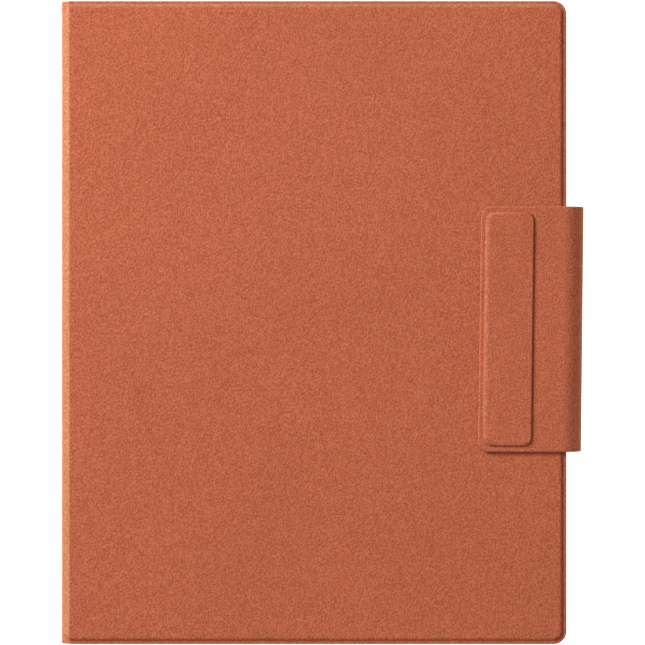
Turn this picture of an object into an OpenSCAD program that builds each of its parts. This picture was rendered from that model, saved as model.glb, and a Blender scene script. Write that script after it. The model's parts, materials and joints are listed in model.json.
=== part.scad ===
// E-reader in a slim folio cover that is held shut by a wrap-round magnetic flap.
// Stored closed, lying on its back cover: +Z is up, +Y is towards the reader's top edge and
// +X is towards the flap. The origin is in the middle of the footprint. Millimetres.

/* [E-reader] */
// Width of the reader
reader_w = 183; // [180:0.5:195]
// Height of the reader
reader_h = 235; // [235:0.5:250]
// Thickness of the reader
reader_t = 4.6; // [4.6:0.1:6]
// Corner radius of the reader, seen from the front
reader_r = 8; // [6:0.5:10]
// Width of the visible screen
screen_w = 157.3; // [145:0.1:158]
// Height of the visible screen
screen_h = 209.7; // [200:0.1:210]
// Bezel above the screen
top_bezel = 10.3; // [10:0.1:11]
// How far the power button can be pressed
button_travel = 0.3; // [0.2:0.05:0.35]

/* [Folio cover] */
// Thickness of the outer microfibre skin
skin_t = 0.6; // [0.5:0.05:0.7]
// Thickness of the stiffening board in each cover
board_t = 1.1; // [1.1:0.1:1.6]
// Thickness of the microfibre lining
lining_t = 0.5; // [0.4:0.05:0.7]
// Width of the pressed flange round each cover
flange_w = 1.4; // [1.2:0.1:2.4]
// Corner radius of the covers, on the side away from the spine
corner_r = 4.8; // [4:0.1:8]
// How far the covers reach past the reader at the top and at the bottom
end_margin = 2.5; // [2:0.1:5]
// How far the covers reach past the reader on the opening side
side_margin = 1.1; // [1:0.1:3]

/* [Closure flap] */
// Height of the flap and of its strap
flap_h = 91.5; // [84:0.5:120]
// Height of the flap's middle above the cover's middle
flap_mid_y = -2.5; // [-20:0.5:20]
// Length of the flap over the front cover, from the outer fold to its free edge
flap_reach = 38.6; // [34:0.1:50]
// Width of the padded part that holds the flap's magnets
pad_w = 18.1; // [17:0.1:22]
// How far the pad stands above the rest of the flap
pad_rise = 0.8; // [0.8:0.1:2]

/* [Hidden] */
$fn = 96;

// Running gaps between pieces that move, and the seams between pieces that don't
move_gap = 0.3;
seam = 0.1;
reader_gap = 0.3;
// How far a cut reaches past what it cuts
over = 1;

// Thickness of one cover and of the whole closed folio
cover_t = skin_t + board_t + lining_t;
closed_t = 2 * cover_t + 2 * reader_gap + reader_t;
cover_edge_r = 0.9;
// The skin is turned in all round, so that the flange holds two layers of it
turned_t = 2 * skin_t;

// Spine: two fold beads joined by a stiffened strip
bead_r = 1.65;
spine_room = 4.4;
strap_room = 6.7;
overall_w = spine_room + reader_w + side_margin + strap_room;
spine_x = -overall_w / 2;
fold_x = spine_x + bead_r;
low_fold_z = bead_r;
high_fold_z = closed_t - bead_r;
spine_strip_gap = 0.1;

// Covers
folio_h = reader_h + 2 * end_margin;
half_h = folio_h / 2;
cover_x1 = spine_x + spine_room + reader_w + side_margin;
board_x0 = fold_x + bead_r + move_gap + skin_t;
board_x1 = cover_x1 - flange_w - skin_t;
board_y1 = half_h - flange_w - skin_t;
board_r = corner_r - flange_w - skin_t;
trim_x0 = spine_x - 2 * corner_r;

// Strap and flap
strap_skin_t = 0.6;
strap_lining_t = 0.5;
flap_lining_t = 0.4;
flap_t = strap_skin_t + flap_lining_t;
strap_bead_r = 1;
strap_x = overall_w / 2;
strap_fold_x = strap_x - strap_bead_r;
tab_z0 = skin_t + board_t - strap_skin_t;
tab_z1 = cover_t;
strap_low_z = (tab_z0 + tab_z1) / 2;
flap_z = closed_t + move_gap;
flap_x0 = strap_fold_x - flap_reach + strap_bead_r;
flap_y0 = flap_mid_y - flap_h / 2;
flap_y1 = flap_mid_y + flap_h / 2;
flap_corner_r = 3.8;
tab_root_l = 6;
tab_root_t = 0.4;
pad_inset_x = 1.7;
pad_inset_y = 2.2;
pad_x0 = flap_x0 + pad_inset_x;
pad_x1 = pad_x0 + pad_w;
pad_top = flap_z + flap_t + pad_rise;
pad_r = 3;
pad_edge_r = 1;
pad_board_inset = 1.5;

// Magnets in the flap and in the covers
flap_magnet = [11, 22, 0.7];
flap_magnet_pitch = 0.27 * flap_h;
keeper_t = 0.5;
keeper_inset = 2;
hold_magnet = [6, 30, 0.9];
hold_magnet_y = 84;
hold_magnet_inset = 8;
sleep_magnet_size = [8, 4, 0.8];

// Reader shell
reader_x0 = spine_x + spine_room;
reader_x1 = reader_x0 + reader_w;
reader_cx = (reader_x0 + reader_x1) / 2;
reader_y1 = reader_h / 2;
reader_z0 = cover_t + reader_gap;
reader_z1 = reader_z0 + reader_t;
shell_wall = 1.2;
shell_floor = 0.7;
shell_edge_r = 0.9;
bezel_t = 0.6;
bezel_edge_r = 0.4;
inside_x0 = reader_x0 + shell_wall;
inside_x1 = reader_x1 - shell_wall;
inside_y1 = reader_y1 - shell_wall;
floor_z = reader_z0 + shell_floor;
rim_z = reader_z1 - bezel_t;

// Display stack, from the front face down
lens_t = 0.3;
touch_t = 0.2;
guide_t = 0.35;
panel_t = 0.55;
frame_t = 0.4;
lens_z = reader_z1 - lens_t;
touch_z = lens_z - touch_t;
guide_z = touch_z - guide_t;
panel_z = guide_z - panel_t;
frame_z = panel_z - frame_t;
screen_y1 = reader_y1 - top_bezel;
screen_y0 = screen_y1 - screen_h;
panel_border = 3;
panel_ledge = 6;
touch_ledge = 1;
panel_x0 = reader_cx - screen_w / 2 - panel_border;
panel_x1 = reader_cx + screen_w / 2 + panel_border;
panel_y0 = screen_y0 - panel_ledge;
panel_y1 = screen_y1 + panel_border;
guide_setback = 1;
guide_y0 = panel_y0 + guide_setback;
lens_border = 1.4;
lens_chin = 2.5;
panel_tail_room = 1.5;
led_strip_w = 2;
led_strip_t = 0.1;
led_strip_inset = 2;
led_count = 12;
led_size = [3, 0.8, 0.35];
led_inset = 6;
led_gap = 0.05;
led_pitch = (panel_x1 - panel_x0 - 2 * led_inset - led_size[0]) / (led_count - 1);

// Main board at the reader's bottom edge
board_z = floor_z + 0.3;
pcb_t = 0.7;
pcb_z = board_z + pcb_t;
pcb_x0 = reader_cx - 76.5;
pcb_x1 = reader_cx + 79.5;
pcb_y0 = -reader_y1 + 3;
pcb_y1 = -reader_y1 + 31.5;
chip_t = 0.8;
processor_at = [44, 19];
processor_size = [13, 13, chip_t];
memory_at = [[29, 19], [59, 19]];
memory_size = [11.5, 13, chip_t];
power_chip_at = [92, 18];
power_chip_size = [7, 7, chip_t];
radio_at = [138, 15];
radio_size = [12, 12, 1];
hall_at = [150, 8];
hall_size = [3, 3, 0.9];
can_size = [46, 17];
can_wall = 0.2;
can_gap = 0.05;
ribbon_t = 0.15;
board_posts_x = [pcb_x0 + 6, reader_cx + 15, pcb_x1 - 22];
board_posts_y = [pcb_y0 + 4, pcb_y1 - 3];
board_post_r = 2;

// USB-C receptacle
usb_mouth_w = 8.34;
usb_mouth_h = 2.56;
usb_wall = 0.2;
usb_body_w = usb_mouth_w + 2 * usb_wall;
usb_body_h = usb_mouth_h + 2 * usb_wall;
usb_depth = 7.35;
usb_mouth_depth = 6.2;
usb_z = floor_z + 1.55;
usb_tongue_w = 6.69;
usb_tongue_t = 0.7;
usb_tongue_back = 0.8;
usb_notch_w = 12;
notch_gap = 0.5;
usb_tab = [1.95, 2.5, 0.2];
usb_tab_x = 5.125;
usb_tab_y = pcb_y0 + 0.5;
board_cut_gap = 0.3;

// Power button in the top edge
button_x = reader_x1 - 28;
button_w = 14;
button_h = 1.8;
button_z = reader_z0 + 2.4;
button_proud = 0.4;
button_slot_gap = 0.2;
button_lip = 0.8;
button_lip_z = 0.5;
button_lip_t = 0.5;
button_nub = [4, 0.6, 1];
switch_size = [6, 2.2, 2.4];
button_notch_w = 20;

// Screws that hold the mid frame to the rear housing
screw_inset = 5.5;
screw_step = (reader_y1 - screw_inset) / 2;
screw_rows = [-2, -1, 0, 1, 2];
screw_r = 0.6;
screw_head_r = 1.2;
screw_head_t = 0.25;
screw_l = 1.5;
post_r = 1.7;
bore_gap = 0.05;
bore_spare = 0.3;
screw_slot = [1.4, 0.3, 0.12];

// Battery
cell_w = 60;
cell_h = 132;
cell_t = 1.9;
cell_gap = 6;
cell_r = 2;
cell_y0 = -reader_y1 + 47.5;
cell_board_w = 76;
cell_board_y0 = cell_y0 - 5;
cell_board_y1 = cell_y0 - 0.5;

// Places inside the reader
rib_t = 1.5;
rib_x0 = reader_cx - 76;
rib_x1 = reader_cx + 56;
rib_y0 = cell_y0 + cell_h + 4;
rib_pitch = 22;
lens_x0 = reader_cx - screen_w / 2 - lens_border;
lens_x1 = reader_cx + screen_w / 2 + lens_border;
lens_y0 = screen_y0 - lens_chin;
lens_y1 = screen_y1 + lens_border;
flex_x0 = reader_cx + 24;
flex_x1 = reader_cx + 54;
flex_y0 = panel_y0 - 2.8;
flex_y1 = panel_y0 + 3;
flex_top = panel_z + 0.3;
connector_w = 2;
lead_x0 = reader_cx - 4.5;
lead_x1 = reader_cx + 4.5;
lead_y0 = pcb_y1 - 2;
hall_x = pcb_x0 + hall_at[0];
hall_y = pcb_y0 + hall_at[1];
cable_r = 0.35;
cable_bend_r = 0.5;
cable_z = frame_z - 0.6;
cable_x = reader_cx + 64.2;
antenna_x1 = reader_cx + 46;
antenna_size = [45, 4.2, 0.2];
antenna_y0 = panel_y1 + 1;
plug_at = [reader_cx + 61, pcb_y1 - 3];
plug_r = 1.1;
solder_at = [antenna_x1 - 2, antenna_y0 + 2];
solder_r = 0.9;
cable_y1 = panel_y1 - 8;
ribbon_x0 = reader_cx + 65.5;
ribbon_w = 4;
ribbon_y0 = pcb_y1 - 5;
ribbon_rise_y = pcb_y1 + 0.3;
button_lip_y = inside_y1 - 0.2;
switch_y1 = button_lip_y - button_lip_t - button_nub[1] - button_travel - seam;
switch_y0 = switch_y1 - switch_size[1];

// Colours
suede = [0.76, 0.42, 0.30];
suede_in = [0.70, 0.38, 0.27];
greyboard = [0.45, 0.43, 0.40];
steel = [0.72, 0.73, 0.75];
magnet = [0.60, 0.61, 0.63];
dark = [0.13, 0.13, 0.14];
metal = [0.52, 0.53, 0.55];
green = [0.10, 0.30, 0.20];
black = [0.06, 0.06, 0.07];
paper = [0.86, 0.86, 0.84];
clear = [0.85, 0.90, 0.92];
copper = [0.80, 0.50, 0.20];
silver = [0.80, 0.81, 0.83];

// A block between two opposite corners
module block(a, b)
    translate(a)
        cube(b - a);

// A plate with four rounded corners
module round_plate(a, b, r)
    translate([0, 0, a[2]])
        linear_extrude(b[2] - a[2]) {
            translate([a[0] + r, a[1]])
                square([b[0] - a[0] - 2 * r, b[1] - a[1]]);
            translate([a[0], a[1] + r])
                square([b[0] - a[0], b[1] - a[1] - 2 * r]);
            for (x = [a[0] + r, b[0] - r], y = [a[1] + r, b[1] - r])
                translate([x, y])
                    circle(r);
        }

// The section of a plate's edge: w wide and h tall, its upper outer corner rounded by e
module edge_section(w, h, e) {
    square([w - e, h]);
    square([w, h - e]);
    translate([w - e, h - e])
        intersection() {
            circle(e);
            square(e);
        }
}

// A round-cornered plate whose upper edge is rounded by e
module soft_plate(a, b, r, e) {
    h = b[2] - a[2];
    lx = b[0] - a[0] - 2 * r;
    ly = b[1] - a[1] - 2 * r;
    translate([a[0] + r, a[1] + r, a[2]])
        cube([lx, ly, h]);
    for (side = [[b[0] - r, a[1] + r, 0, ly], [b[0] - r, b[1] - r, 90, lx],
                 [a[0] + r, b[1] - r, 180, ly], [a[0] + r, a[1] + r, 270, lx]])
        translate([side[0], side[1], a[2]])
            rotate(side[2])
                translate([0, side[3], 0])
                    rotate([90, 0, 0])
                        linear_extrude(side[3])
                            edge_section(r, h, e);
    for (corner = [[b[0] - r, a[1] + r, 270], [b[0] - r, b[1] - r, 0],
                   [a[0] + r, b[1] - r, 90], [a[0] + r, a[1] + r, 180]])
        translate([corner[0], corner[1], a[2]])
            rotate(corner[2])
                rotate_extrude(angle = 90)
                    edge_section(r, h, e);
}

// Turns a shape over between two levels, so that its rounded edge faces down
module turn_over(z0, z1)
    translate([0, 0, z0 + z1])
        mirror([0, 0, 1])
            children();

// A rod along Y
module rod(x, z, r, y0, y1)
    translate([x, y1, z])
        rotate([90, 0, 0])
            cylinder(r = r, h = y1 - y0);

// The room that a cover leaves for the fold bead beside it, and for all that lies beyond
module fold_room(z) {
    rod(fold_x, z, bead_r + move_gap, -half_h - over, half_h + over);
    block([trim_x0 - over, -half_h - over, z - cover_t * 2],
        [fold_x, half_h + over, z + cover_t * 2]);
}

// The same at the strap's two folds
module strap_room_at(z, side) {
    rod(strap_fold_x, z, strap_bead_r + move_gap, flap_y0 - over, flap_y1 + over);
    block([strap_fold_x, flap_y0 - over, z - side],
        [strap_x + flap_corner_r + over, flap_y1 + over, z + side]);
}

// ---- Back cover ----

// One cover seen with its raised board up, from z0 at the lining's seam to its outer face
module cover_skin(z0) {
    difference() {
        union() {
            round_plate([trim_x0, -half_h, z0], [cover_x1, half_h, z0 + turned_t], corner_r);
            soft_plate([trim_x0, flange_w - half_h, z0],
                [cover_x1 - flange_w, half_h - flange_w, z0 + board_t + skin_t],
                corner_r - flange_w, cover_edge_r);
        }
        cover_board(z0);
    }
}

module cover_board(z0)
    round_plate([board_x0, -board_y1, z0], [board_x1, board_y1, z0 + board_t], board_r);

module back_outer_skin()
    color(suede)
        difference() {
            turn_over(0, skin_t + board_t)
                cover_skin(0);
            fold_room(low_fold_z);
            tab_root();
        }

module back_board()
    color(greyboard)
        difference() {
            turn_over(0, skin_t + board_t)
                cover_board(0);
            hold_bars(skin_t + seam);
            tab_root();
        }

module back_lining()
    color(suede_in)
        difference() {
            round_plate([trim_x0, -half_h, skin_t + board_t], [cover_x1, half_h, cover_t],
                corner_r);
            fold_room(low_fold_z);
        }

// Four bar magnets along the long sides, from level z up
module hold_bars(z)
    for (x = [reader_x0 + hold_magnet_inset, reader_x1 - hold_magnet_inset],
         y = [-hold_magnet_y, hold_magnet_y])
        translate([x - hold_magnet[0] / 2, y - hold_magnet[1] / 2, z])
            cube(hold_magnet);

module hold_magnets_back()
    color(magnet)
        hold_bars(skin_t + seam);

// The strap's end, bonded between the skin and the lining
module tab_root()
    block([cover_x1 - tab_root_l, flap_y0, tab_z1 - lining_t - tab_root_t],
        [cover_x1, flap_y1, tab_z1 - lining_t]);

module strap_tab()
    color(suede)
        difference() {
            union() {
                tab_root();
                block([cover_x1, flap_y0, tab_z0], [strap_fold_x, flap_y1, tab_z1]);
            }
            strap_room_at(strap_low_z, cover_t);
        }

// ---- Spine ----

module fold_beads() {
    rod(fold_x, low_fold_z, bead_r, -half_h, half_h);
    rod(fold_x, high_fold_z, bead_r, -half_h, half_h);
}

module spine_outer_skin()
    color(suede) {
        fold_beads();
        block([spine_x, -half_h, low_fold_z], [spine_x + skin_t, half_h, high_fold_z]);
    }

module spine_stiffener()
    color(greyboard)
        block([spine_x + skin_t, -board_y1, low_fold_z + bead_r + spine_strip_gap],
            [spine_x + skin_t + board_t, board_y1, high_fold_z - bead_r - spine_strip_gap]);

module spine_lining()
    color(suede_in)
        difference() {
            block([spine_x + skin_t + board_t, -half_h, low_fold_z],
                [spine_x + cover_t, half_h, high_fold_z]);
            fold_beads();
        }

// ---- Front cover ----

module front_outer_skin()
    color(suede)
        difference() {
            cover_skin(closed_t - skin_t - board_t);
            fold_room(high_fold_z);
        }

module front_board()
    color(greyboard)
        difference() {
            cover_board(closed_t - skin_t - board_t);
            keeper_plate();
            sleep_bar();
        }

module front_lining()
    color(suede_in)
        difference() {
            round_plate([trim_x0, -half_h, closed_t - cover_t],
                [cover_x1, half_h, closed_t - cover_t + lining_t], corner_r);
            fold_room(high_fold_z);
        }

module keeper_plate()
    block([pad_x0 + keeper_inset, flap_y0 + pad_inset_y + keeper_inset,
           closed_t - skin_t - seam - keeper_t],
        [pad_x1 - keeper_inset, flap_y1 - pad_inset_y - keeper_inset,
         closed_t - skin_t - seam]);

module closure_keeper()
    color(steel)
        keeper_plate();

module sleep_bar()
    translate([hall_x - sleep_magnet_size[0] / 2, hall_y - sleep_magnet_size[1] / 2,
               closed_t - skin_t - board_t + seam])
        cube(sleep_magnet_size);

module sleep_magnet()
    color(magnet)
        sleep_bar();

// ---- Strap and flap ----

module strap_beads() {
    rod(strap_fold_x, strap_low_z, strap_bead_r, flap_y0, flap_y1);
    rod(strap_fold_x, flap_z, strap_bead_r, flap_y0, flap_y1);
}

module strap_outer_skin()
    color(suede) {
        strap_beads();
        block([strap_x - strap_skin_t, flap_y0, strap_low_z], [strap_x, flap_y1, flap_z]);
    }

module strap_lining()
    color(suede_in)
        difference() {
            block([strap_x - strap_skin_t - strap_lining_t, flap_y0, strap_low_z],
                [strap_x - strap_skin_t, flap_y1, flap_z]);
            strap_beads();
        }

module flap_outline(z0, z1)
    round_plate([flap_x0, flap_y0, z0], [strap_x + flap_corner_r, flap_y1, z1], flap_corner_r);

module pad_board()
    round_plate([pad_x0 + pad_board_inset, flap_y0 + pad_inset_y + pad_board_inset,
                 flap_z + flap_lining_t],
        [pad_x1 - pad_board_inset, flap_y1 - pad_inset_y - pad_board_inset,
         pad_top - strap_skin_t],
        pad_r / 2);

module flap_bars()
    for (i = [-1, 0, 1])
        translate([(pad_x0 + pad_x1 - flap_magnet[0]) / 2,
                   flap_mid_y + i * flap_magnet_pitch - flap_magnet[1] / 2,
                   flap_z + flap_lining_t + seam])
            cube(flap_magnet);

module flap_outer_skin()
    color(suede)
        difference() {
            union() {
                flap_outline(flap_z + flap_lining_t, flap_z + flap_t);
                soft_plate([pad_x0, flap_y0 + pad_inset_y, flap_z + flap_lining_t],
                    [pad_x1, flap_y1 - pad_inset_y, pad_top], pad_r, pad_edge_r);
            }
            pad_board();
            strap_room_at(flap_z, flap_t + over);
        }

module flap_lining()
    color(suede_in)
        difference() {
            flap_outline(flap_z, flap_z + flap_lining_t);
            strap_room_at(flap_z, flap_t + over);
        }

module flap_pad_board()
    color(greyboard)
        difference() {
            pad_board();
            flap_bars();
        }

module flap_magnets()
    color(magnet)
        flap_bars();

// ---- Reader: shell ----

// The upright places where the frame screws go, for anything round
module at_screws()
    for (x = [reader_x0 + screw_inset, reader_x1 - screw_inset], i = screw_rows)
        translate([x, i * screw_step, 0])
            children();

module usb_slot(w, h, y0, y1)
    translate([reader_cx, y1, usb_z])
        rotate([90, 0, 0])
            linear_extrude(y1 - y0) {
                square([w - h, h], center = true);
                for (side = [-1, 1])
                    translate([side * (w - h) / 2, 0])
                        circle(h / 2);
            }

module usb_body()
    usb_slot(usb_body_w, usb_body_h, -reader_y1, usb_depth - reader_y1);

module rear_housing()
    color(metal)
        difference() {
            union() {
                difference() {
                    turn_over(reader_z0, rim_z)
                        soft_plate([reader_x0, -reader_y1, reader_z0],
                            [reader_x1, reader_y1, rim_z], reader_r, shell_edge_r);
                    round_plate([inside_x0, -inside_y1, floor_z],
                        [inside_x1, inside_y1, rim_z + 1], reader_r - shell_wall);
                }
                at_screws()
                    translate([0, 0, floor_z])
                        cylinder(r = post_r, h = frame_z - floor_z);
                for (x = board_posts_x, y = board_posts_y)
                    translate([x, y, floor_z])
                        cylinder(r = board_post_r, h = board_z - floor_z);
                for (y = [rib_y0, rib_y0 + rib_pitch])
                    block([rib_x0, y, floor_z], [rib_x1, y + rib_t, frame_z]);
            }
            at_screws()
                translate([0, 0, panel_z - screw_l - bore_spare])
                    cylinder(r = screw_r + bore_gap, h = screw_l + over);
            usb_body();
            block([button_x - button_w / 2 - button_slot_gap, inside_y1 - over,
                   button_z - button_h / 2 - button_slot_gap],
                [button_x + button_w / 2 + button_slot_gap, reader_y1 + over,
                 button_z + button_h / 2 + button_slot_gap]);
        }

module mid_frame()
    color(metal)
        difference() {
            round_plate([inside_x0 + seam, seam - inside_y1, frame_z],
                [inside_x1 - seam, inside_y1 - seam, panel_z], reader_r - shell_wall - seam);
            at_screws()
                translate([0, 0, frame_z - over])
                    cylinder(r = screw_r + bore_gap, h = frame_t + over);
            at_screws()
                translate([0, 0, panel_z - screw_head_t])
                    cylinder(r = screw_head_r + bore_gap, h = screw_head_t + over);
            block([reader_cx - usb_notch_w / 2, -reader_y1, frame_z - over],
                [reader_cx + usb_notch_w / 2, usb_depth - reader_y1 + notch_gap, panel_z + over]);
            block([flex_x0 - notch_gap, flex_y0 - 2 * notch_gap, frame_z - over],
                [flex_x1 + notch_gap, panel_y0 - notch_gap, panel_z + over]);
            block([button_x - button_notch_w / 2, panel_y1 + over, frame_z - over],
                [button_x + button_notch_w / 2, reader_y1, panel_z + over]);
        }

module frame_screws()
    color(steel)
        difference() {
            at_screws() {
                translate([0, 0, panel_z - screw_head_t])
                    cylinder(r = screw_head_r, h = screw_head_t);
                translate([0, 0, panel_z - screw_l])
                    cylinder(r = screw_r, h = screw_l - screw_head_t / 2);
            }
            at_screws()
                for (turn = [0, 90])
                    rotate(turn)
                        translate([-screw_slot[0] / 2, -screw_slot[1] / 2,
                                   panel_z - screw_slot[2]])
                            cube([screw_slot[0], screw_slot[1], over]);
        }

module bezel_frame()
    color(dark)
        difference() {
            soft_plate([reader_x0, -reader_y1, rim_z], [reader_x1, reader_y1, reader_z1],
                reader_r, bezel_edge_r);
            block([panel_x0 - seam, panel_y0 - panel_tail_room, rim_z - over],
                [panel_x1 + seam, panel_y1 + seam, lens_z]);
            block([lens_x0 - seam, lens_y0 - seam, lens_z - over],
                [lens_x1 + seam, lens_y1 + seam, reader_z1 + over]);
        }

// ---- Reader: display ----

module cover_lens()
    color(clear)
        block([lens_x0, lens_y0, lens_z], [lens_x1, lens_y1, reader_z1]);

module touch_sensor()
    color(clear)
        block([panel_x0, panel_y0 - touch_ledge, touch_z], [panel_x1, panel_y1, lens_z]);

module light_guide()
    color(clear)
        block([panel_x0, guide_y0, guide_z], [panel_x1, panel_y1, touch_z]);

module led_strip()
    color(paper) {
        block([panel_x0 + led_strip_inset, guide_y0 - led_strip_w, guide_z],
            [panel_x1 - led_strip_inset, guide_y0 - led_gap, guide_z + led_strip_t]);
        for (i = [0 : led_count - 1])
            translate([panel_x0 + led_inset + i * led_pitch, guide_y0 - led_size[1] - led_gap,
                       guide_z])
                cube(led_size);
    }

module epaper_panel()
    color(paper)
        block([panel_x0, panel_y0, panel_z], [panel_x1, panel_y1, guide_z]);

// The panel's tail: out of its lower edge, down past the frame and back to the main board
module display_flex()
    color(copper)
        translate([flex_x0, 0, 0])
            rotate([90, 0, 90])
                linear_extrude(flex_x1 - flex_x0)
                    polygon([
                        [panel_y0, flex_top], [flex_y0, flex_top], [flex_y0, pcb_z],
                        [flex_y1, pcb_z], [flex_y1, pcb_z + ribbon_t],
                        [flex_y0 + ribbon_t, pcb_z + ribbon_t],
                        [flex_y0 + ribbon_t, flex_top - ribbon_t],
                        [panel_y0, flex_top - ribbon_t]
                    ]);

// ---- Reader: electronics ----

module main_board()
    color(green)
        difference() {
            block([pcb_x0, pcb_y0, board_z], [pcb_x1, pcb_y1, pcb_z]);
            block([reader_cx - usb_body_w / 2 - board_cut_gap, pcb_y0 - over, board_z - over],
                [reader_cx + usb_body_w / 2 + board_cut_gap,
                 usb_depth - reader_y1 + board_cut_gap, pcb_z + over]);
        }

// A chip on the main board, placed by its middle from the board's lower left corner
module chip(at, size)
    translate([pcb_x0 + at[0] - size[0] / 2, pcb_y0 + at[1] - size[1] / 2, pcb_z])
        cube(size);

module processor()
    color(black)
        chip(processor_at, processor_size);

module memory_chips()
    color(black)
        for (at = memory_at)
            chip(at, memory_size);

module power_chip()
    color(black)
        chip(power_chip_at, power_chip_size);

module radio_module()
    color(silver)
        chip(radio_at, radio_size);

module hall_sensor()
    color(black)
        chip(hall_at, hall_size);

// A low connector on the main board, along X
module connector(x0, x1, y0)
    block([x0, y0, pcb_z], [x1, y0 + connector_w, pcb_z + chip_t]);

module board_connectors()
    color(dark) {
        connector(flex_x0, flex_x1, flex_y1);
        connector(lead_x0 - 1, lead_x1 + 1, lead_y0 - connector_w);
        connector(ribbon_x0 - 1, ribbon_x0 + ribbon_w + 1, ribbon_y0 - connector_w);
    }

module shield_can()
    color(silver)
        difference() {
            chip(processor_at, [can_size[0], can_size[1], chip_t + can_gap + can_wall]);
            chip(processor_at, [can_size[0] - 2 * can_wall, can_size[1] - 2 * can_wall,
                                chip_t + can_gap]);
        }

module usb_shell()
    color(steel) {
        difference() {
            usb_body();
            usb_slot(usb_mouth_w, usb_mouth_h, -reader_y1 - over, usb_mouth_depth - reader_y1);
        }
        for (side = [-1, 1])
            translate([reader_cx + side * usb_tab_x - usb_tab[0] / 2, usb_tab_y, pcb_z])
                cube(usb_tab);
    }

module usb_tongue()
    color(black)
        block([reader_cx - usb_tongue_w / 2, usb_tongue_back - reader_y1,
               usb_z - usb_tongue_t / 2],
            [reader_cx + usb_tongue_w / 2, usb_mouth_depth - reader_y1,
             usb_z + usb_tongue_t / 2]);

module battery_cells()
    color(silver)
        for (x = [reader_cx - cell_gap / 2 - cell_w, reader_cx + cell_gap / 2])
            round_plate([x, cell_y0, floor_z], [x + cell_w, cell_y0 + cell_h, floor_z + cell_t],
                cell_r);

module battery_board()
    color(green)
        block([reader_cx - cell_board_w / 2, cell_board_y0, floor_z],
            [reader_cx + cell_board_w / 2, cell_board_y1, pcb_z]);

module battery_lead()
    color(copper)
        block([lead_x0, lead_y0, pcb_z], [lead_x1, cell_board_y1 - seam, pcb_z + ribbon_t]);

module antenna()
    color(copper)
        translate([antenna_x1 - antenna_size[0], antenna_y0, floor_z])
            cube(antenna_size);

// A stretch of thin round cable between two points at one level
module cable_run(a, b) {
    run = b - a;
    translate([a[0], a[1], cable_z])
        rotate([0, 90, atan2(run[1], run[0])])
            cylinder(r = cable_r, h = norm(run));
    translate([b[0], b[1], cable_z])
        sphere(cable_bend_r);
}

module cable_end(at, r, z0)
    translate([at[0], at[1], z0])
        cylinder(r = r, h = cable_z + cable_r - z0);

module antenna_cable()
    color(black) {
        cable_run(plug_at, [cable_x, pcb_y1]);
        cable_run([cable_x, pcb_y1], [cable_x, cable_y1]);
        cable_run([cable_x, cable_y1], solder_at);
        cable_end(plug_at, plug_r, pcb_z);
        cable_end(solder_at, solder_r, floor_z + antenna_size[2]);
    }

module hold_magnets_reader()
    color(magnet)
        hold_bars(floor_z);

// Along the floor beside the battery, with its lower end lifted onto the main board
module button_flex()
    color(copper) {
        translate([ribbon_x0, 0, 0])
            rotate([90, 0, 90])
                linear_extrude(ribbon_w)
                    polygon([
                        [switch_y0, floor_z], [switch_y0, floor_z + ribbon_t],
                        [ribbon_rise_y, floor_z + ribbon_t], [ribbon_rise_y, pcb_z + ribbon_t],
                        [ribbon_y0, pcb_z + ribbon_t], [ribbon_y0, pcb_z],
                        [ribbon_rise_y - ribbon_t, pcb_z], [ribbon_rise_y - ribbon_t, floor_z]
                    ]);
        block([button_x - switch_size[0] / 2 - over, switch_y0, floor_z],
            [ribbon_x0 + ribbon_w, switch_y1, floor_z + ribbon_t]);
    }

module power_switch()
    color(dark)
        block([button_x - switch_size[0] / 2, switch_y0, floor_z + ribbon_t],
            [button_x + switch_size[0] / 2, switch_y1, floor_z + ribbon_t + switch_size[2]]);

module power_button()
    color(metal) {
        block([button_x - button_w / 2, inside_y1 - button_slot_gap, button_z - button_h / 2],
            [button_x + button_w / 2, reader_y1 + button_proud, button_z + button_h / 2]);
        block([button_x - button_w / 2 - button_lip, button_lip_y - button_lip_t,
               button_z - button_h / 2 - button_lip_z],
            [button_x + button_w / 2 + button_lip, button_lip_y,
             button_z + button_h / 2 + button_lip_z]);
        block([button_x - button_nub[0] / 2, button_lip_y - button_lip_t - button_nub[1],
               button_z - button_nub[2] / 2],
            [button_x + button_nub[0] / 2, button_lip_y - button_lip_t,
             button_z + button_nub[2] / 2]);
    }

back_outer_skin();
back_board();
back_lining();
hold_magnets_back();
strap_tab();
spine_outer_skin();
spine_stiffener();
spine_lining();
front_outer_skin();
front_board();
front_lining();
closure_keeper();
sleep_magnet();
strap_outer_skin();
strap_lining();
flap_outer_skin();
flap_lining();
flap_pad_board();
flap_magnets();
rear_housing();
mid_frame();
frame_screws();
bezel_frame();
cover_lens();
touch_sensor();
light_guide();
led_strip();
epaper_panel();
display_flex();
main_board();
processor();
memory_chips();
power_chip();
radio_module();
hall_sensor();
board_connectors();
shield_can();
usb_shell();
usb_tongue();
battery_cells();
battery_board();
battery_lead();
antenna();
antenna_cable();
hold_magnets_reader();
button_flex();
power_switch();
power_button();
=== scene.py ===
import json
import math

import bpy
import numpy as np
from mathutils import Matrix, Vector, noise


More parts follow.
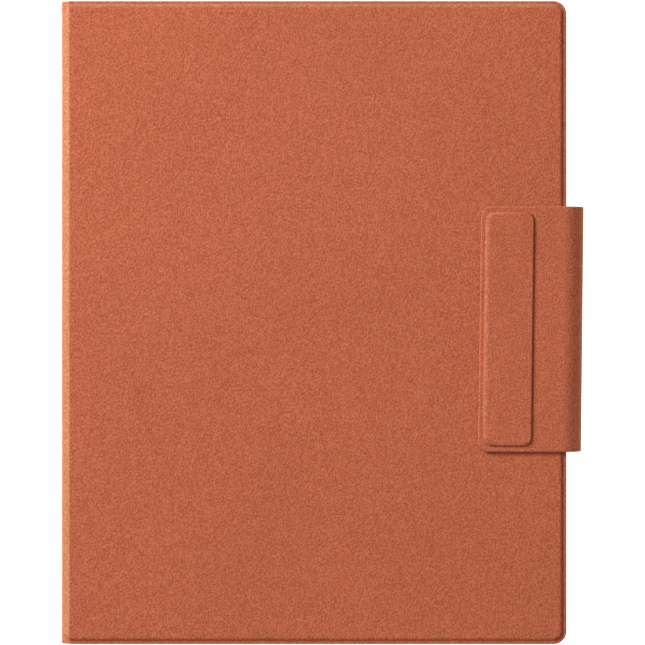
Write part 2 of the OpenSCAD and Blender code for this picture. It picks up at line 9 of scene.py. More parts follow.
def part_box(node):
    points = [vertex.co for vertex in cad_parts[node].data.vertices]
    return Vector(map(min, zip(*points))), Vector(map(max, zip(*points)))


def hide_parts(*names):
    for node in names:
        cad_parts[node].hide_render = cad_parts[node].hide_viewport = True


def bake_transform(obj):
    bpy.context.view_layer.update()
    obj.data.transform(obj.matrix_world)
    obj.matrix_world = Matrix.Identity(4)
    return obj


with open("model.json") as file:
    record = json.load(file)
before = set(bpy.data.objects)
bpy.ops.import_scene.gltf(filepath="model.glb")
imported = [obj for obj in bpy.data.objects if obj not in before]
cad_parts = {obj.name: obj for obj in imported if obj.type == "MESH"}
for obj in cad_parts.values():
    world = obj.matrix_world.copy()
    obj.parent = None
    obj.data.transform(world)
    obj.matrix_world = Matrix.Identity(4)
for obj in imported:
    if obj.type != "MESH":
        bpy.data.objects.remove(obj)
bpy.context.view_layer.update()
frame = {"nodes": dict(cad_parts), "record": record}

MM = 0.001

# ---------------------------------------------------------------- sizes, in metres


# The covers
SPINE_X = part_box("spine_outer_skin")[0].x
COVER_X1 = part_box("front_lining")[1].x
HALF_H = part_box("front_lining")[1].y
CLOSED_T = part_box("front_outer_skin")[1].z
COVER_T = CLOSED_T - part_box("front_lining")[0].z
CORNER_R = 4.8 * MM
FLANGE_W = 1.4 * MM
FLANGE_STEP = 0.5 * MM          # the flange is this much thinner than the cover
BOARD_EDGE = 1.25 * MM          # how wide the rounded edge of the raised board is
PANEL_X0 = SPINE_X + 1.6 * MM   # where the raised board's corners start, beside the spine
PANEL_CORNER_R = 2.2 * MM
FOLD_RUN = 3.1 * MM             # the slanting band where the cover turns into the spine: its
FOLD_DROP = 2.3 * MM            # width and its height
FOLD_LOW_R = 1.3 * MM           # rounding of the band's lower and upper edge
FOLD_HIGH_R = 0.9 * MM
FOLD_IN_R = 0.5 * MM            # and of the lining inside it
FLAT_X0 = SPINE_X + FOLD_RUN + 1.0 * MM   # from here the cover is flat
FLAT_LINING_LAG = 0.4 * MM      # the lining's points start this much further out there
FLAT_MERGE = 5 * MM             # and are in line with the skin's again after this run
RIM_R = 0.25 * MM               # rounding of the cut edge

# The flap and its strap
FLAP_LOW, FLAP_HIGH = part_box("flap_outer_skin")
FLAP_LINING_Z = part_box("flap_lining")[0].z
FLAP_X0 = FLAP_LOW.x
FLAP_Y1 = FLAP_HIGH.y
FLAP_MID_Y = (FLAP_LOW.y + FLAP_HIGH.y) / 2
FLAP_HALF = (FLAP_HIGH.y - FLAP_LOW.y) / 2
FLAP_T = 1.0 * MM
FLAP_MID_Z = FLAP_LINING_Z + FLAP_T / 2
FLAP_CORNER_R = 3.8 * MM
FLAP_RIM_R = 0.4 * MM           # rounding of the flap's and strap's edge
FLAP_SKEW_IN = 0.0135           # the flap lies askew: how much its free edge leans,
FLAP_SKEW_OUT = 0.0105          # and the strap's nose
PAD_RISE = FLAP_HIGH.z - FLAP_LINING_Z - FLAP_T
PAD_CROWN = 0.06                # the part of that rise that comes gently, over PAD_CROWN_RUN
PAD_CROWN_RUN = 5 * MM
PAD_W = 18.1 * MM
PAD_X0 = FLAP_X0 + 1.7 * MM
PAD_X1 = PAD_X0 + PAD_W
PAD_HALF_H = FLAP_HALF - 2.2 * MM
PAD_CORNER_R = 3.2 * MM
PAD_EDGE = 0.6 * MM             # how wide the pad's rounded edge is on the strap's side
PAD_EDGE_LEFT = 1.7 * MM        # and on the free side
PAD_GROOVE = 0.10 * MM          # depth of the pressed line round the pad's foot
PAD_GROOVE_OUT = 0.25 * MM      # how far the line reaches outwards and inwards
PAD_GROOVE_IN = 0.15 * MM
STRAP_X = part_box("strap_outer_skin")[1].x
TAB_LOW, TAB_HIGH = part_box("strap_tab")
TAB_MID_Z = (TAB_LOW.z + TAB_HIGH.z) / 2
TAB_ROOT_X = COVER_X1 - 2 * MM
CROOK_R = (FLAP_MID_Z - TAB_MID_Z) / 2
CROOK_Z = (FLAP_MID_Z + TAB_MID_Z) / 2
CROOK_W = 7.0 * MM              # the strap starts to turn down this far in from its nose
CROOK_X = STRAP_X - FLAP_T / 2 - CROOK_W
CROOK_SLOPE = 1.25              # above 1, the strap falls away sooner than an ellipse would
WRINKLE_FROM = 25 * MM          # the strap's wrinkles start this far from the flap's free edge
WRINKLE_DEPTH = 0.16 * MM
WRINKLE_APART = 4.2 * MM
WRINKLE_SLANT = (0.6, 0.8)      # the direction across them, in plan
WRINKLES_WIDE = 7 * MM          # how far they reach across and along, and round which place
WRINKLES_LONG = 9 * MM
WRINKLES_MID_ACROSS = (CROOK_X, FLAP_Y1 - 10 * MM)
WRINKLES_MID_ALONG = (CROOK_X - 6 * MM, FLAP_Y1 - 9 * MM)

# The cloth's unevenness, as depths and the sizes of its features
SAG_WIDE, SAG_WIDE_SIZE = 0.05 * MM, 30 * MM
SAG_FINE, SAG_FINE_SIZE = 0.02 * MM, 6 * MM
LINING_SAG, LINING_SAG_SIZE = 0.015 * MM, 12 * MM
STRAP_RIPPLE, STRAP_RIPPLE_SIZE = 0.03 * MM, 12 * MM

# Mesh steps
FINE_STEP = 0.3 * MM
COVER_STEP = 4 * MM
FLAP_STEP_X = 1.2 * MM
FLAP_STEP_Y = 1.5 * MM
CORNER_RUN = 6 * MM             # steps are fine this far in from an edge with corners
SIDE_RUN = 5 * MM               # from the cover's long free edge
FOLD_SIDE_RUN = 3 * MM          # and from a fold
PAD_FOOT_STEP = 0.15 * MM       # round the foot of the pad on the strap's side,
PAD_FOOT_REACH = (1.2 * MM, 0.8 * MM)   # from this far before it to this far beyond
PAD_FOOT_GAP = 0.1 * MM
FOLD_POINTS = 40
ARC_POINTS = 9
CROOK_POINTS = 28
TAB_POINTS = 8

# A cut edge's round: how far it stands out, as a share of its radius, and how far down it is,
# as a share of the thickness
COVER_RIM = [(0.72, 0.10), (1.0, 0.30), (1.0, 0.70), (0.72, 0.90)]
STRAP_RIM = [(0.72, 0.10), (1.0, 0.32), (1.0, 0.68), (0.72, 0.90)]

# How pale or how dark the nap is painted, as shares of the worn tone and the shade tone: paler for
# rubbed nap and for painted highlights, darker for painted shade. A rise or a fall is where it
# starts and the run it takes. On a rounded edge both are shares of the edge's width.
CUT_EDGE_WEAR = 0.6
BAND_WEAR_RISE = (CLOSED_T - FOLD_DROP - 0.8 * MM, 0.9 * MM)   # up the slanting band, in z
BAND_WEAR_FALL = (SPINE_X + FOLD_RUN - 0.3 * MM, 0.7 * MM)     # at its upper edge, in x
RIDGE_HIGHLIGHT = 1.4                # a painted highlight on the raised board's edge, where it faces the key light.
RIDGE_RISE = (-0.3, 0.5)        # The material stops at 1, so the line is broad
RIDGE_FALL = (0.5, 0.9)
# painted highlight on the pad's edge, on the sides that face the key light
PAD_RIDGE_HIGHLIGHT = 0.5
PAD_RIDGE_RISE = (0.0, 0.3)
PAD_RIDGE_FALL = (0.6, 0.8)
NOSE_WEAR_AND_HIGHLIGHT = 0.8                 # on the strip along the strap's nose: rubbed nap, and a painted highlight for the light its rounded nose catches
NOSE_W = 1.6 * MM
FOOT_SHADE = 0.8              # painted shade at the raised board's foot, where it faces away from the light
FOOT_MID, FOOT_REACH = 0.25, 0.5
FOOT_FACING_MAX = 0.82          # the most that facing away counts for
PAD_SHADE = 0.6               # painted shade in the line along the pad's strap side and lower side
PAD_SHADE_W = 0.3 * MM

# The picture
KEY_LIGHT = (-1.10, 0.78, 0.70)
FILL_LIGHT = (0.3, 0.2, 1.5)
CAMERA_DISTANCE = 0.9           # above the front cover
SEEN_WIDTH = 0.2404             # what the picture spans there
AIM_X = -0.11 * MM              # the picture's middle
FLOOR_HALF = 6.0
FLOOR_Z = -0.2 * MM


# ---------------------------------------------------------------- mesh helpers

def graded(low, high, fine, coarse, low_run, high_run):
    """Positions from low to high, close together near each end that has a run of fine steps."""
    out = [low]
    at = low
    while at < high - 1e-9:
        near = (at - low < low_run) or (high - at < high_run)
        step = fine if near else coarse
        if not near:
            step = min(step, max(high - high_run - at, fine))
        at = min(at + step, high)
        if high - at < fine * 0.5:
            at = high
        out.append(at)
    return np.array(out)


def wobble(p, size, seed):
    """Smooth noise from -1 to 1 at a point, with features of about that size."""
    return noise.noise(Vector((p[0] / size + seed, p[1] / size - seed, p[2] / size)))


def mesh_object(name, verts, faces, material):
    """A smooth-shaded object with one material."""
    mesh = bpy.data.meshes.new(name)
    mesh.from_pydata([tuple(v) for v in verts], [], faces)
    mesh.materials.append(material)
    mesh.polygons.foreach_set("use_smooth", [True] * len(mesh.polygons))
    mesh.validate()
    mesh.update()
    o = bpy.data.objects.new(name, mesh)
    bpy.context.scene.collection.objects.link(o)
    return o


def paint_nap_and_light(o, wear_and_highlight, pressed):
    """Says at each vertex how pale the nap is, from rubbing and painted highlight, and how dark,
    from painted shade. The vertices left over are cut edges."""
    left = len(o.data.vertices) - len(wear_and_highlight)
    for name, values in (("wear_and_highlight", list(wear_and_highlight) + [CUT_EDGE_WEAR] * left),
                         ("pressed", list(pressed) + [0.0] * left)):
        layer = o.data.attributes.new(name, "FLOAT", "POINT")
        layer.data.foreach_set("value", values)


def grid_faces(rows, cols, flip=False, start=0):
    """Faces of a grid whose first vertex has the number start."""
    faces = []
    for i in range(rows - 1):
        for j in range(cols - 1):
            a = start + i * cols + j
            quad = (a, a + cols, a + cols + 1, a + 1)
            faces.append(quad[::-1] if flip else quad)
    return faces


def edge_places(rows, cols):
    """The places of a grid along its first column, its last row and its last column."""
    return ([(i, 0) for i in range(rows)] + [(rows - 1, j) for j in range(1, cols)]
            + [(i, cols - 1) for i in range(rows - 2, -1, -1)])


def add_rim(verts, outer, inner, places, sideways, profile, r):
    """Adds the vertices of a cut edge between an outer and an inner face, and returns them as
    rows. At each place, sideways is the edge's outward direction in plan."""
    rim = []
    for out_k, down_k in profile:
        row = []
        for n, (nx, ny) in zip(places, sideways):
            p = outer[n] + (inner[n] - outer[n]) * down_k
            row.append(len(verts))
            verts.append(p + np.array([nx, ny, 0]) * r * out_k)
        rim.append(row)
    return rim


def strip_faces(rows):
    """Faces between neighbouring rows of vertices."""
    return [(a[k], b[k], b[k + 1], a[k + 1])
            for a, b in zip(rows, rows[1:]) for k in range(len(a) - 1)]


def corner_warp(x, y, x1, half_y, r):
    """Bends a square grid so that its two corners at x1 follow a radius of r."""
    cx, cy = x1 - r, half_y - r
    u, v = x - cx, abs(y) - cy
    if u > 0 and v > 0:
        un, vn = u / r, v / r
        return (cx + u * math.sqrt(1 - vn * vn / 2),
                math.copysign(cy + v * math.sqrt(1 - un * un / 2), y))
    return x, y


def inset(x, y, x1, half_y, r):
    """Distance inwards from an outline with rounded corners at x1 and no left side."""
    u, v = x - (x1 - r), abs(y) - (half_y - r)
    if u > 0 and v > 0:
        return r - math.hypot(u, v)
    return r - max(u, v)


def panel_inset(x, y):
    """Distance inwards from the cover's outline, with the raised board's rounded spine corners."""
    d = inset(x, y, COVER_X1, HALF_H, CORNER_R)
    u = PANEL_X0 + PANEL_CORNER_R - x
    v = abs(y) - (HALF_H - FLANGE_W - PANEL_CORNER_R)
    if u > 0 and v > 0:
        d = min(d, FLANGE_W + PANEL_CORNER_R - math.hypot(u, v))
    return d


def outward(x, y, x1, half_y, r, on_side):
    """The outline's outward direction, in plan."""
    u, v = x - (x1 - r), abs(y) - (half_y - r)
    if u > 0 and v > 0:
        n = math.hypot(u, v)
        return u / n, math.copysign(v / n, y)
    return (1.0, 0.0) if on_side else (0.0, math.copysign(1.0, y))


def sees_light(nx, ny):
    """How far an edge faces the key light, from -1 to 1, by its outward direction in plan."""
    return (nx * KEY_LIGHT[0] + ny * KEY_LIGHT[1]) / math.hypot(*KEY_LIGHT[:2])


def hump(distance, width):
    """A bell curve, 1 where the distance is 0 and low beyond the width."""
    return math.exp(-(distance / width) ** 2)


def quarter(k):
    """A rounded rise from 0 at k 0 to 1 at k 1."""
    k = min(max(k, 0.0), 1.0)
    return math.sqrt(1 - (1 - k) ** 2)


def soft_step(k):
    """A smooth change from 0 at k 0 to 1 at k 1."""
    k = min(max(k, 0.0), 1.0)
    return k * k * (3 - 2 * k)


def rising(at, start, run):
    """0 up to the start and 1 after the run, with a smooth change between."""
    return soft_step((at - start) / run)


def plateau(at, rise, fall):
    """1 between a rise and a fall and 0 outside them."""
    return rising(at, *rise) * (1 - rising(at, *fall))


# ---------------------------------------------------------------- materials

class Nodes:
    """A short way to write a material's node tree."""

    def __init__(self, name):
        self.material = bpy.data.materials.new(name)
        self.material.use_nodes = True
        self.tree = self.material.node_tree
        self.bsdf = self.tree.nodes["Principled BSDF"]
        self.coords = self.add("ShaderNodeTexCoord").outputs["Object"]

    def add(self, kind, **settings):
        node = self.tree.nodes.new(kind)
        for key, value in settings.items():
            setattr(node, key, value)
        return node

    def link(self, a, b):
        self.tree.links.new(a, b)

    def noise(self, scale, detail=3.0, rough=0.55, stretch=(1, 1, 1)):
        mapping = self.add("ShaderNodeMapping")
        mapping.inputs["Scale"].default_value = stretch
        self.link(self.coords, mapping.inputs["Vector"])
        n = self.add("ShaderNodeTexNoise")
        n.inputs["Scale"].default_value = scale
        n.inputs["Detail"].default_value = detail
        n.inputs["Roughness"].default_value = rough
        self.link(mapping.outputs["Vector"], n.inputs["Vector"])
        return n.outputs["Fac"]

    def ramp(self, fac, stops):
        r = self.add("ShaderNodeValToRGB")
        elements = r.color_ramp.elements
        while len(elements) < len(stops):
            elements.new(0.5)
        for e, (position, colour) in zip(elements, stops):
            e.position = position
            e.color = (*colour, 1.0)
        self.link(fac, r.inputs["Fac"])
        return r.outputs["Color"]

    def mix(self, fac, a, b, blend):
        """Colour a with b laid over it. fac is a number or a socket, b a colour or a socket."""
        m = self.add("ShaderNodeMix", data_type="RGBA", blend_type=blend)
        if isinstance(fac, float):
            m.inputs[0].default_value = fac
        else:
            self.link(fac, m.inputs[0])
        self.link(a, m.inputs[6])
        if isinstance(b, tuple):
            m.inputs[7].default_value = (*b, 1.0)
        else:
            self.link(b, m.inputs[7])
        return m.outputs[2]

    def bump(self, height, strength, distance, normal=None):
        b = self.add("ShaderNodeBump")
        b.inputs["Strength"].default_value = strength
        b.inputs["Distance"].default_value = distance
        self.link(height, b.inputs["Height"])
        if normal is not None:
            self.link(normal, b.inputs["Normal"])
        return b.outputs["Normal"]

    def set(self, **values):
        for key, value in values.items():
            self.bsdf.inputs[key.replace("_", " ")].default_value = value


def grey(v):
    return (v, v, v)


def around(middle, half_range):
    """Stops of a grey ramp about a middle tone."""
    return [(0.3, grey(middle - half_range)), (0.7, grey(middle + half_range))]


WEAR_AND_HIGHLIGHT_TONE = (0.91, 1.36, 1.36)     # what a rubbed fold or edge does to the colour, and the painted highlight on edges facing the key light
SHADE_TONE = (0.50, 0.36, 0.30)  # and the painted shade at the foot of an edge that faces away from the light
NAP_TONE = 0.15                    # how much lighter and darker the nap is than its mean
NAP_PALENESS = (1.0, 1.85, 2.4)    # its tips are paler as well as lighter
SHEEN_TINT = (1.0, 0.70, 0.48, 1.0)
NAP_BUMP = 0.15 * MM


def suede(name, colour, sheen):
    """Brushed microfibre: a fine nap with pale tips, soft mottling and a bloom at low angles."""
    n = Nodes(name)
    nap = n.noise(1950, detail=0.0, rough=0.5, stretch=(1.0, 0.8, 1.0))
    tufts = n.noise(820, detail=2.0, rough=0.5)
    mottle = n.noise(210, detail=3.0, rough=0.5)
    cloud = n.noise(20, detail=3.0, rough=0.5)
    dark = tuple(c * (1 - NAP_TONE * k) for c, k in zip(colour, NAP_PALENESS))
    pale = tuple(c * (1 + NAP_TONE * k) for c, k in zip(colour, NAP_PALENESS))
    fine = n.ramp(nap, [(0.28, dark), (0.72, pale)])
    tuft_tone = n.ramp(tufts, [(0.3, (0.45, 0.44, 0.43)), (0.7, (0.55, 0.56, 0.57))])
    patches = n.ramp(mottle, around(0.5, 0.03))
    clouds = n.ramp(cloud, around(0.5, 0.025))
    mixed = n.mix(0.7, fine, tuft_tone, "OVERLAY")
    mixed = n.mix(0.6, mixed, patches, "OVERLAY")
    mixed = n.mix(0.6, mixed, clouds, "OVERLAY")
    # rubbed nap and painted highlights make the colour paler, painted shade makes it darker
    for mark, tone in (("wear_and_highlight", WEAR_AND_HIGHLIGHT_TONE), ("pressed", SHADE_TONE)):
        amount = n.add("ShaderNodeAttribute", attribute_name=mark).outputs["Fac"]
        mixed = n.mix(amount, mixed, tone, "MULTIPLY")
    n.link(mixed, n.bsdf.inputs["Base Color"])
    n.set(Roughness=0.95, Specular_IOR_Level=0.08)
    n.set(Sheen_Weight=sheen, Sheen_Roughness=0.36, Sheen_Tint=SHEEN_TINT)
    bump = n.bump(tufts, 0.3, NAP_BUMP)
    bump = n.bump(nap, 0.9, NAP_BUMP, bump)
    n.link(bump, n.bsdf.inputs["Normal"])
    return n.material


def hard(name, noise_scale, stops, rough, metallic=0.0, bump=(0.2, 0.05 * MM),
         stretch=(1, 1, 1), detail=4.0):
    """The nodes of a hard finish: colour, roughness and a bump from one noise. bump is its
    strength and its height."""
    n = Nodes(name)
    grain = n.noise(noise_scale, detail, 0.6, stretch)
    n.link(n.ramp(grain, stops), n.bsdf.inputs["Base Color"])
    low, high = rough
    n.link(n.ramp(grain, [(0.25, grey(low)), (0.75, grey(high))]), n.bsdf.inputs["Roughness"])
    n.set(Metallic=metallic)
    n.link(n.bump(grain, *bump), n.bsdf.inputs["Normal"])
    return n


def greyboard():
    """Pressed card with pale and dark fibres."""
    return hard("greyboard", 900, [(0.3, (0.20, 0.18, 0.155)), (0.7, (0.33, 0.305, 0.265))],
                (0.85, 0.98), bump=(0.5, 0.1 * MM), stretch=(1.0, 0.35, 1.0)).material


def steel():
    return hard("brushed_steel", 2600, [(0.3, grey(0.46)), (0.7, grey(0.60))], (0.24, 0.42),
                metallic=1.0, bump=(0.15, 0.03 * MM), stretch=(1.0, 0.03, 1.0)).material


def magnet():
    return hard("nickel_plate", 240, [(0.3, (0.56, 0.54, 0.50)), (0.7, (0.66, 0.64, 0.60))],
                (0.14, 0.24), metallic=1.0, bump=(0.08, 0.04 * MM)).material


def shell_metal():
    """Bead-blasted, anodised aluminium."""
    return hard("blasted_aluminium", 5200,
                [(0.3, (0.245, 0.25, 0.26)), (0.7, (0.33, 0.335, 0.345))], (0.38, 0.52),
                metallic=1.0, bump=(0.35, 0.03 * MM), detail=2.0).material


def bezel_plastic():
    return hard("bezel_plastic", 3800, [(0.3, grey(0.012)), (0.7, grey(0.020))], (0.42, 0.58),
                bump=(0.3, 0.02 * MM), detail=2.0).material


def clear_layer():
    """The lens, touch film and light guide: faintly frosted, over the panel."""
    n = hard("clear_layer", 5000, [(0.3, grey(0.86)), (0.7, grey(0.92))], (0.22, 0.34),
             bump=(0.15, 0.01 * MM), detail=2.0)
    n.set(Alpha=0.10)
    n.material.surface_render_method = "BLENDED"
    return n.material


def epaper():
    """The panel's pale grey ground, with the fine speckle of its capsules."""
    return hard("epaper", 6500, [(0.3, (0.70, 0.70, 0.67)), (0.7, (0.78, 0.78, 0.75))],
                (0.75, 0.9), bump=(0.1, 0.01 * MM), detail=2.0).material


def led_tape():
    """A white tape with yellow phosphor spots."""
    return hard("led_tape", 180, [(0.45, (0.82, 0.82, 0.78)), (0.60, (0.86, 0.72, 0.20))],
                (0.4, 0.6)).material


def circuit_board():
    """Green solder mask with traces just showing through it."""
    n = Nodes("solder_mask")
    traces = n.add("ShaderNodeTexBrick", offset=0.5)
    n.link(n.coords, traces.inputs["Vector"])
    traces.inputs["Scale"].default_value = 520
    traces.inputs["Mortar Size"].default_value = 0.035
    traces.inputs["Color1"].default_value = (0.012, 0.085, 0.040, 1)
    traces.inputs["Color2"].default_value = (0.016, 0.105, 0.050, 1)
    traces.inputs["Mortar"].default_value = (0.035, 0.19, 0.085, 1)
    n.link(traces.outputs["Color"], n.bsdf.inputs["Base Color"])
    grain = n.noise(900, 3.0)
    n.link(n.ramp(grain, [(0.3, grey(0.22)), (0.7, grey(0.36))]), n.bsdf.inputs["Roughness"])
    n.link(n.bump(traces.outputs["Fac"], 0.25, 0.04 * MM), n.bsdf.inputs["Normal"])
    return n.material


def chip_plastic():
    return hard("chip_plastic", 3000, [(0.3, grey(0.014)), (0.7, grey(0.028))], (0.45, 0.7),
                bump=(0.25, 0.02 * MM)).material


def flex_circuit():
    """Amber film with its conductors in fine lines."""
    n = Nodes("flex_film")
    lines = n.add("ShaderNodeTexWave", wave_type="BANDS", bands_direction="DIAGONAL")
    n.link(n.coords, lines.inputs["Vector"])
    lines.inputs["Scale"].default_value = 900
    lines.inputs["Distortion"].default_value = 0.4
    tone = n.ramp(lines.outputs["Fac"], [(0.35, (0.46, 0.17, 0.03)), (0.65, (0.62, 0.30, 0.07))])
    n.link(tone, n.bsdf.inputs["Base Color"])
    grain = n.noise(700, 2.0)
    n.link(n.ramp(grain, [(0.3, grey(0.28)), (0.7, grey(0.42))]), n.bsdf.inputs["Roughness"])
    n.link(n.bump(lines.outputs["Fac"], 0.2, 0.03 * MM), n.bsdf.inputs["Normal"])
    return n.material


def pouch_foil():
    """Soft aluminium laminate with shallow dents."""
    return hard("pouch_foil", 70, [(0.3, (0.60, 0.61, 0.63)), (0.7, (0.72, 0.73, 0.75))],
                (0.26, 0.42), metallic=0.9, bump=(0.5, 0.4 * MM)).material


SUEDE = suede("orange_suede", (0.408, 0.104, 0.051), sheen=0.34)
SUEDE_LINING = suede("orange_lining", (0.38, 0.098, 0.049), sheen=0.22)
FINISHES = {
    "outer_microfibre": SUEDE,
    "lining_microfibre": SUEDE_LINING,
    "greyboard": greyboard(),
    "steel": steel(),
    "magnet": magnet(),
    "shell_metal": shell_metal(),
    "bezel_plastic": bezel_plastic(),
    "lens_plastic": clear_layer(),
    "epaper": epaper(),
    "led_tape": led_tape(),
    "circuit_board": circuit_board(),
    "chip_plastic": chip_plastic(),
    "flex_circuit": flex_circuit(),
    "pouch_foil": pouch_foil(),
}


def finish_cad_nodes():
    """Every CAD node takes the finish that its material slot has here."""
    for part in frame["record"]["subparts"]:
        mesh = frame["nodes"][part["node"]].data
        mesh.materials.clear()
        mesh.materials.append(FINISHES[part["material_slot"]])


finish_cad_nodes()


# ---------------------------------------------------------------- the two covers

def rounded_path(corners, radii, steps):
    """A path through corner points, each inner one rounded with its radius."""
    points = [np.array(corners[0])]
    for before, at, after, r in zip(corners, corners[1:], corners[2:], radii):
        at = np.array(at)
        u = np.array(before) - at
        v = np.array(after) - at
        u, v = u / np.linalg.norm(u), v / np.linalg.norm(v)
        half = math.acos(float(np.clip(u @ v, -1, 1))) / 2
        middle = (u + v) / np.linalg.norm(u + v)
        centre = at + middle * r / math.sin(half)
        first, last = at + u * r / math.tan(half), at + v * r / math.tan(half)
        a0 = math.atan2(*(first - centre)[::-1])
        turn = (math.atan2(*(last - centre)[::-1]) - a0 + math.pi) % (2 * math.pi) - math.pi
        for k in np.linspace(0, 1, steps):
            a = a0 + turn * k
            points.append(centre + r * np.array([math.cos(a), math.sin(a)]))
    points.append(np.array(corners[-1]))
    return points


def spaced(points, count):
    """The same path as count evenly spaced points."""
    points = np.array(points)
    steps = np.linalg.norm(np.diff(points, axis=0), axis=1)
    run = np.concatenate([[0], np.cumsum(steps)])
    at = np.linspace(0, run[-1], count)
    return np.stack([np.interp(at, run, points[:, 0]), np.interp(at, run, points[:, 1])], 1)


def cover_section():
    """Outer and inner points (x, z) along the front cover, from mid spine to the free edge.
    The last three values of each are how much of the flange's step it takes, how rubbed it
    is, and whether it is on the flat part."""
    mid_z = CLOSED_T / 2
    inner_x = SPINE_X + COVER_T
    inner_z = CLOSED_T - COVER_T
    lining_x0 = FLAT_X0 + FLAT_LINING_LAG
    outer = spaced(rounded_path(
        [(SPINE_X, mid_z), (SPINE_X, CLOSED_T - FOLD_DROP), (SPINE_X + FOLD_RUN, CLOSED_T),
         (FLAT_X0, CLOSED_T)], [FOLD_LOW_R, FOLD_HIGH_R], ARC_POINTS), FOLD_POINTS)
    inner = spaced(rounded_path([(inner_x, mid_z), (inner_x, inner_z), (lining_x0, inner_z)],
                                [FOLD_IN_R], ARC_POINTS), FOLD_POINTS)
    points = []
    for o, i in list(zip(outer, inner))[:-1]:
        step = rising(o[0], SPINE_X, FOLD_RUN)
        rub_and_highlight = rising(o[1], *BAND_WEAR_RISE) * (1 - rising(o[0], *BAND_WEAR_FALL))
        points.append((tuple(o), tuple(i), step, rub_and_highlight, False))
    flat_xs = graded(FLAT_X0, COVER_X1 - RIM_R, FINE_STEP, COVER_STEP, FOLD_SIDE_RUN, SIDE_RUN)
    for x in flat_xs:
        k = min((x - FLAT_X0) / FLAT_MERGE, 1.0)
        ix = lining_x0 + (x - lining_x0) * k
        points.append(((x, CLOSED_T), (ix, inner_z), 1.0, 0.0, True))
    return points


def path_length(points):
    """The length of a path, such as a sheet's section laid flat."""
    return float(np.linalg.norm(np.diff(np.array(points), axis=0), axis=1).sum())


COVER_PLAN = (COVER_X1 - RIM_R, HALF_H - RIM_R, CORNER_R - RIM_R)   # within the cut edge


def board_edge(x, y):
    """How far up the raised board's rounded edge a place is, from 0 at its foot to 1 at its
    top, and the painted highlight and painted shade there, by the way it faces the key light."""
    x1, half_y, r = COVER_PLAN
    k = (panel_inset(x, y) - FLANGE_W) / BOARD_EDGE
    lit = sees_light(*outward(x, y, x1, half_y, r, x1 - x < half_y - abs(y)))
    rub_and_highlight = RIDGE_HIGHLIGHT * plateau(k, RIDGE_RISE, RIDGE_FALL) * max(lit, 0)
    facing_away = min(max(-lit, 0), FOOT_FACING_MAX)
    return k, rub_and_highlight, FOOT_SHADE * facing_away * hump(k - FOOT_MID, FOOT_REACH)


def sag(p):
    """How far in from its true face the cover's skin lies."""
    return (SAG_WIDE * abs(wobble(p, SAG_WIDE_SIZE, 3.0))
            + SAG_FINE * abs(wobble(p, SAG_FINE_SIZE, 9.0)))


def build_cover(name, upper, replaced, lining_replaced):
    """A cover's outer skin and its lining, each from mid spine to the free edge. The back
    cover is the front one turned over."""
    section = cover_section()
    x1, half_y, r = COVER_PLAN
    ys = graded(-half_y, half_y, FINE_STEP, COVER_STEP, CORNER_RUN, CORNER_RUN)
    outer, inner, plan, wear_and_highlight, pressed = [], [], [], [], []
    for (ox, oz), (ix, iz), step, rub_and_highlight, flat in section:
        for y in ys:
            px, py = corner_warp(ox, y, x1, half_y, r) if flat else (ox, y)
            qx, qy = corner_warp(ix, y, x1, half_y, r) if flat else (ix, y)
            k, edge_highlight, edge_pressed = board_edge(px, py)
            rise = quarter(k)
            # rubbed nap on the fold band, and a painted highlight on the board's edge where it
            # faces the key light
            wear_and_highlight.append(max(rub_and_highlight * (1 + rise) / 2, edge_highlight * step))
            # painted shade at the board's foot, where it faces away from the key light
            pressed.append(edge_pressed * step)
            o = np.array([px, py, oz])
            i = np.array([qx, qy, iz])
            way = (i - o) / np.linalg.norm(i - o)
            drop = step * FLANGE_STEP * (1 - rise)
            outer.append(o - np.array([0, 0, drop]) + way * sag(o))
            inner.append(i - way * LINING_SAG * abs(wobble(i, LINING_SAG_SIZE, 5.0)))
            plan.append((px, py))
    rows, cols = len(section), len(ys)

    # The cut edge belongs to the skin, and ends on its own copy of the lining's edge
    places = [i * cols + j for i, j in edge_places(rows, cols)]
    sideways = [outward(*plan[n], x1, half_y, r, n >= (rows - 1) * cols) for n in places]
    verts = list(outer)
    rim = add_rim(verts, outer, inner, places, sideways, COVER_RIM, RIM_R)
    last = []
    for n in places:
        last.append(len(verts))
        verts.append(inner[n].copy())
    faces = grid_faces(rows, cols) + strip_faces([places] + rim + [last])
    lining_faces = grid_faces(rows, cols, flip=True)
    if not upper:
        for v in verts + inner:
            v[2] = CLOSED_T - v[2]
        faces = [f[::-1] for f in faces]
        lining_faces = [f[::-1] for f in lining_faces]
    skin = mesh_object(name + "_skin", verts, faces, SUEDE)
    paint_nap_and_light(skin, wear_and_highlight, pressed)
    lining = mesh_object(name + "_inner_lining", inner, lining_faces, SUEDE_LINING)
    run = path_length([p[0] for p in section])
    inner_run = path_length([p[1] for p in section])
    for o, slot, gone, width in ((skin, "outer_microfibre", replaced, run),
                                 (lining, "lining_microfibre", lining_replaced, inner_run)):
        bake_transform(o)
        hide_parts(*gone)


build_cover("front_cover", True,
            ("front_outer_skin", "spine_outer_skin"), ("front_lining", "spine_lining"))
build_cover("back_cover", False,
            ("back_outer_skin",), ("back_lining",))


# ---------------------------------------------------------------- strap and flap

# The flap's outline within its cut edge, mirrored, because its corners are at the low end of x
FLAP_PLAN = (-(FLAP_X0 + FLAP_RIM_R), FLAP_HALF - FLAP_RIM_R, FLAP_CORNER_R - FLAP_RIM_R)


def skewed(x, y):
    """Where x is on the flap as it lies, askew about its upper end."""
    k = (x - FLAP_X0) / (STRAP_X - FLAP_X0)
    return x + (FLAP_SKEW_IN + (FLAP_SKEW_OUT - FLAP_SKEW_IN) * k) * (y - FLAP_Y1)


